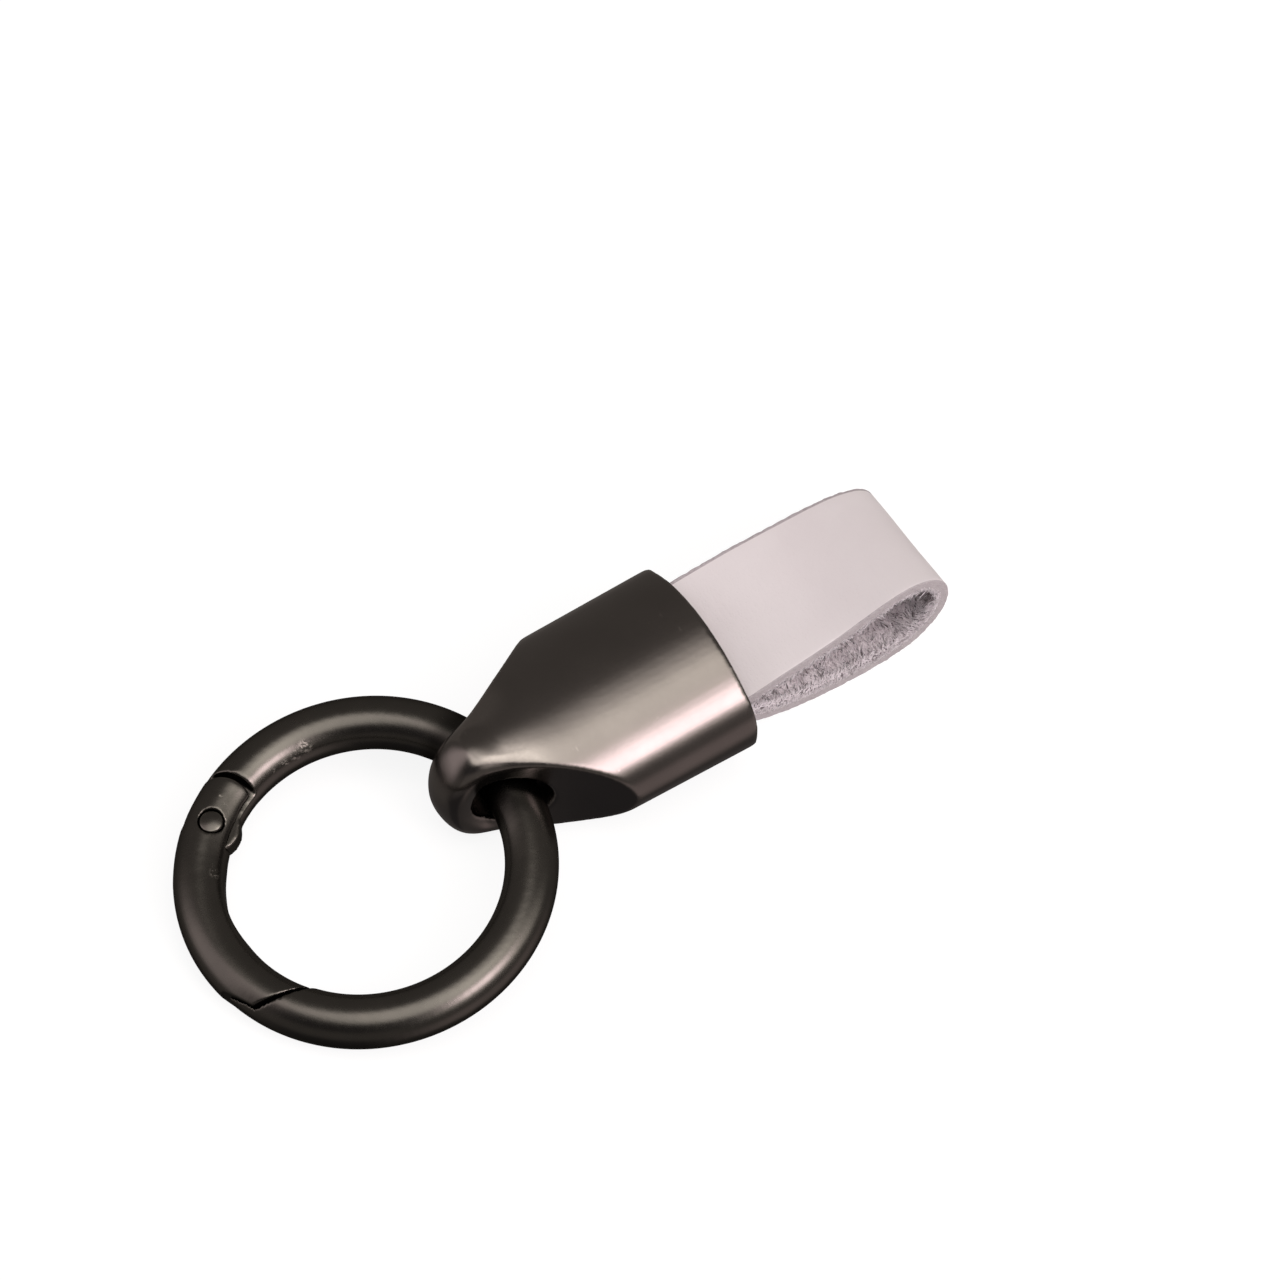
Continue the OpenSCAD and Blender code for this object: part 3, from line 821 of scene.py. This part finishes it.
def make_fibres(shape, look):
    """Loose fibres: short nap, long strands across it, a fringe along the edges, fuzz on the cut edges."""
    chance = np.random.default_rng(12)
    counts = {"nap": 9200, "strand": 5200, "fringe": 4200, "fuzz": 2600}
    kind = np.repeat(list(counts), list(counts.values()))
    total = len(kind)
    nap, strand, fringe, fuzz = (kind == name for name in counts)

    def pick(*choices):
        return np.select([nap, strand, fringe], choices[:3], choices[3])

    def between(low, high):
        return chance.uniform(low, high, total)

    # The fibres begin a little out of the socket
    bare = strap_tail + 0.8
    along = between(bare, shape.length - bare)
    upper = along < shape.length / 2
    # Nap and strands lie all over the width; fringe and fuzz keep to the edges, mostly the near one
    inset = pick(
        between(0.008, 0.99),
        between(0.008, 0.99),
        0.012 + chance.beta(0.8, 2.2, total) * 0.045,
        0.001,
    )
    across = np.where((fringe | fuzz) & (chance.random(total) < 0.3), 1 - inset, inset)
    from_edge = np.minimum(across, 1 - across) * strap_w
    # Near an edge the flesh side is skived, so its fibres start deeper in the strap
    skive = 0.35 * (1 - np.clip(from_edge / 0.7, 0, 1)) ** 2
    roots, side = shape.at(along, across, -strap_t / 2 + np.where(fuzz, between(0.25, 0.8), 0.04 + skive))
    inward = np.stack([-side[:, 0], np.zeros(total), -side[:, 1]], 1)
    run = np.stack([side[:, 1], np.zeros(total), -side[:, 0]], 1)
    wide = np.tile((0.0, 1.0, 0.0), (total, 1))
    outward = wide * np.where(across < 0.5, -1.0, 1.0)[:, None]
    down = np.array((0, 0, -1.0))
    # Strands comb across the strap in locks that share a direction
    lock = np.array([noise.noise(Vector(p) * 0.9) for p in roots])
    swirl = pi / 2 + lock * 1.6 + chance.normal(0, 1, total) * np.where(strand, 0.35, 0.8)
    lean = run * np.cos(swirl)[:, None] + wide * np.sin(swirl)[:, None]
    rise = pick(between(0.3, 1.0), between(0.12, 0.4), 0.9, np.where(upper, 0.4, 0.8))[:, None]
    tilt = pick(0.9, 0.9, 0.35, 0.45)[:, None]
    first = unit_rows(inward * rise + lean * tilt + outward * fuzz[:, None] * 0.3)
    sag = pick(0.1, 0.1, 0.7, np.where(upper, 0.5, 0.0))[:, None]
    later = unit_rows(first * 0.7 + lean * pick(0.8, 0.8, 0.3, 0.2)[:, None] + down * sag)
    length = pick(
        between(0.3, 0.7),
        between(0.5, 1.15),
        between(0.35, 0.85) * np.where(upper, 1.6, 1),
        between(0.2, 0.55),
    )
    thick = pick(
        between(0.028, 0.055),
        between(0.045, 0.085),
        between(0.04, 0.075),
        between(0.03, 0.055),
    )
    rows, faces, loft = blades(roots, first, later, length, thick, inward + 0.01)
    # Only the fuzz stands out over the strap's own edges
    room = (strap_w / 2 + np.where(fuzz, 0.14, -0.02))[:, None]
    rows[..., 1] = np.clip(rows[..., 1], -room, room)
    # Most fibres are pale and a few dark. Of the fringe under the upper layer's edge many are dark,
    # more so towards the loop's end: painted shade of the tufts
    own = np.clip(1.0 + lock * 0.2 + chance.normal(0, 0.14, total), 0.5, 1)
    own = np.where(chance.random(total) < pick(0.15, 0.2, 0.16, 0.03), between(0.0, 0.22), own)
    end = ramp(np.minimum(along, shape.length - along), shape.length * 0.3, shape.length * 0.42)
    own = np.where(fringe & upper & (chance.random(total) < 0.35 + 0.45 * end), between(0.0, 0.14), own)
    own = np.where(fuzz, 0.8 * own, own)
    # Each fibre darkens towards its root: painted shade among the packed fibres
    tone = own[:, None] * (0.7 + 0.3 * loft[None, :])
    for name, mine in (("suede_nap", nap), ("suede_strands", strand), ("suede_fringe", fringe | fuzz)):
        spots = carried(rows[mine].reshape(-1, 3), cap_place)
        every = [tuple(v + i * len(loft) for v in face) for i in range(int(mine.sum())) for face in faces]
        fibre = bpy.data.objects.new(name, bpy.data.meshes.new(name))
        bpy.context.scene.collection.objects.link(fibre)
        fibre.data.from_pydata(spots.tolist(), [], every)
        fibre.data.update()
        keep_value(fibre, "tone", tone[mine].ravel())
        select_only(fibre)
        bpy.ops.object.shade_smooth()
        finish_piece(fibre, "cap", "strap_leather", look)


# Studio
def make_floor():
    """A pale lit table, so bright that only close contact shades it. The metal doesn't mirror it."""
    bpy.ops.object.select_all(action="DESELECT")
    bpy.ops.mesh.primitive_plane_add(size=8, location=(0, 0, -floor_drop * MM))
    floor = bpy.context.object
    floor.name = "floor"
    look = material("pale floor")
    look.surface({
        "Base Color": (0.18, 0.18, 0.18),
        "Roughness": 0.9,
        "Specular IOR Level": 0.1,
        "Emission Color": (1.0, 1.0, 1.0),
        "Emission Strength": 0.87,
    })
    floor.data.materials.append(look.owner)
    floor.visible_glossy = False


def make_air():
    """Soft studio light as a painted sky: a tall window in front, a ceiling, two cards and a dark gap."""
    world = bpy.data.worlds.new("studio")
    bpy.context.scene.world = world
    air = Nodes(world)
    way = air.add("ShaderNodeTexCoord", output="Generated")
    degrees = 180 / pi
    turn = way.part("X").work("ARCTAN2", way.part("Y") * -1) * degrees
    rise = way.part("Z").work("ARCSINE") * degrees

    def beside(middle, edge, full):
        """1 within full degrees of that azimuth, fading to 0 at edge degrees."""
        return (turn - middle).size().step(edge, full)

    def glow(colour, share):
        return air.mix((0, 0, 0), colour, share)

    # Where each part of the sky is: degrees of azimuth round its middle, and degrees of rise
    gap = beside(-52, 50, 18) * rise.step(62, 42) * rise.step(2, 22).largest(rise.step(-15, -40))
    gap = gap.largest(rise.step(-38, -60) * 0.65)
    ceiling = way.dot((-0.12, -0.2, 0.972)).step(0.83, 0.985)
    front = beside(27, 48, 14) * rise.step(12, 27)
    window = beside(18, 22, 6) * rise.step(25, 34) * rise.step(57, 44)
    left_card = beside(-115, 32, 8) * rise.step(-20, 12) * rise.step(88, 60)
    low_card = beside(25, 55, 15) * rise.step(-4, -18) * rise.step(-52, -36)
    light = (
        air.mix((0.17, 0.152, 0.14), (0.05, 0.046, 0.047), gap)
        + glow((1.7, 1.58, 1.48), ceiling)
        + glow((1.3, 1.22, 1.11), front)
        + glow((6.8, 5.5, 5.9), window)
        + glow((0.8, 0.68, 0.685), left_card)
        + glow((0.3, 0.235, 0.235), low_card)
    )
    # Cloth and leather take a little more of it than the metal shows, and the camera sees a plain backdrop
    spread = air.add("ShaderNodeLightPath", output="Is Diffuse Ray")
    seen = air.add("ShaderNodeLightPath", output="Is Camera Ray")
    light = air.mix(light, light * (1.36, 1.47, 1.56), spread)
    sky = air.add("ShaderNodeBackground", {}, {"Color": air.mix(light, (1.0, 1.0, 1.0), seen)})
    air.add("ShaderNodeOutputWorld", {}, {"Surface": sky})
    bpy.context.scene.view_settings.view_transform = "Standard"


make_camera()
make_floor()
make_air()

# Scuffs on ring and gate, as place and reach
ring_marks = [
    ((-20.2, 12.9, 6.5), 0.9), ((-21.3, 12.75, 6.1), 0.7),
    ((-22.5, 12.7, 5.9), 0.6), ((-23.8, 12.7, 5.8), 0.4),
    ((-33.46, 6.65, 4.86), 0.7), ((-33.2, 7.4, 4.8), 0.35),
    ((-29.15, 12.74, 6.1), 0.3), ((-31.3, 12.0, 5.9), 0.35),
]
# The ring's wire goes through the cap here; round it the ring's metal gets painted shade
ring_eye = (-7.235, 2.05, 6.393)
ring_metal = plated_metal(
    "ring gunmetal", (0.119, 0.1145, 0.105), (0.148, 0.14, 0.128), 0.265, 0.08, 0.003,
    glance=0.4, marks=ring_marks, dark=(ring_eye, 7.6),
)
cap_metal = plated_metal("cap gunmetal", (0.185, 0.172, 0.163), (0.21, 0.195, 0.185), 0.235, 0.04, 0.002)
bright_steel = drawn_steel("drawn steel", (0.5, 0.5, 0.5))
dark_steel = plated_metal("screw plating", (0.12, 0.11, 0.11), (0.16, 0.15, 0.15), 0.35, 0.1, 0.004)
grain_side = leather_grain("leather grain")
cut_edge = leather_cut("leather cut edge")
flesh_side = leather_suede("leather suede")
loose_fibre = leather_fibre("leather fibre")

make_cap(cap_metal)
make_ring(ring_metal)
make_gate(ring_metal)
make_rivet(ring_metal)
make_plunger(bright_steel)
make_spring(bright_steel)
make_screw(dark_steel)
strap_shape = StrapShape()
make_strap(strap_shape, grain_side, cut_edge, flesh_side)
make_fibres(strap_shape, loose_fibre)
